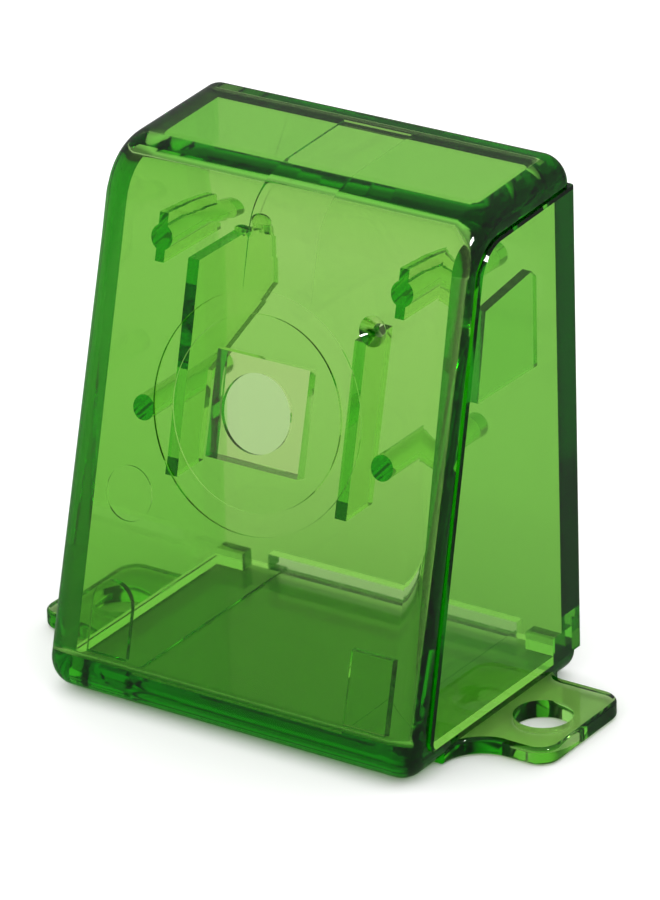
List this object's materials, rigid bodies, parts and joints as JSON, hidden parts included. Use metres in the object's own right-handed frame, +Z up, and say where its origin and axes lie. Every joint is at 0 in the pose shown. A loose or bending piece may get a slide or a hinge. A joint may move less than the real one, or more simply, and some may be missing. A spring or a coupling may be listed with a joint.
{
  "type": "camera board enclosure",
  "caption": "Clear tinted snap-together enclosure for a small camera board, with a leaning front, lens hole, ribbon cable slot and side screw ears",
  "frame": {"origin": "on the underside of the base, half way between the two ear holes", "axes": "+X across the width, towards the ear on the lamp hole's side; the leaning front with the lens hole faces -Y and the flat back +Y; +Z up"},
  "size_m": [0.0458, 0.0234, 0.0415],
  "materials": {
    "clear_green_plastic": "polished, see-through, tinted green in the body of the plastic"
  },
  "bodies": {
    "front": {"front_shell": "clear_green_plastic"},
    "rear": {"rear_shell": "clear_green_plastic"}
  },
  "joints": [
    {"name": "rear_pull", "type": "slide", "parent": "front", "child": "rear", "axis": [0, 1, 0], "range_m": [0, 0.03]}
  ]
}
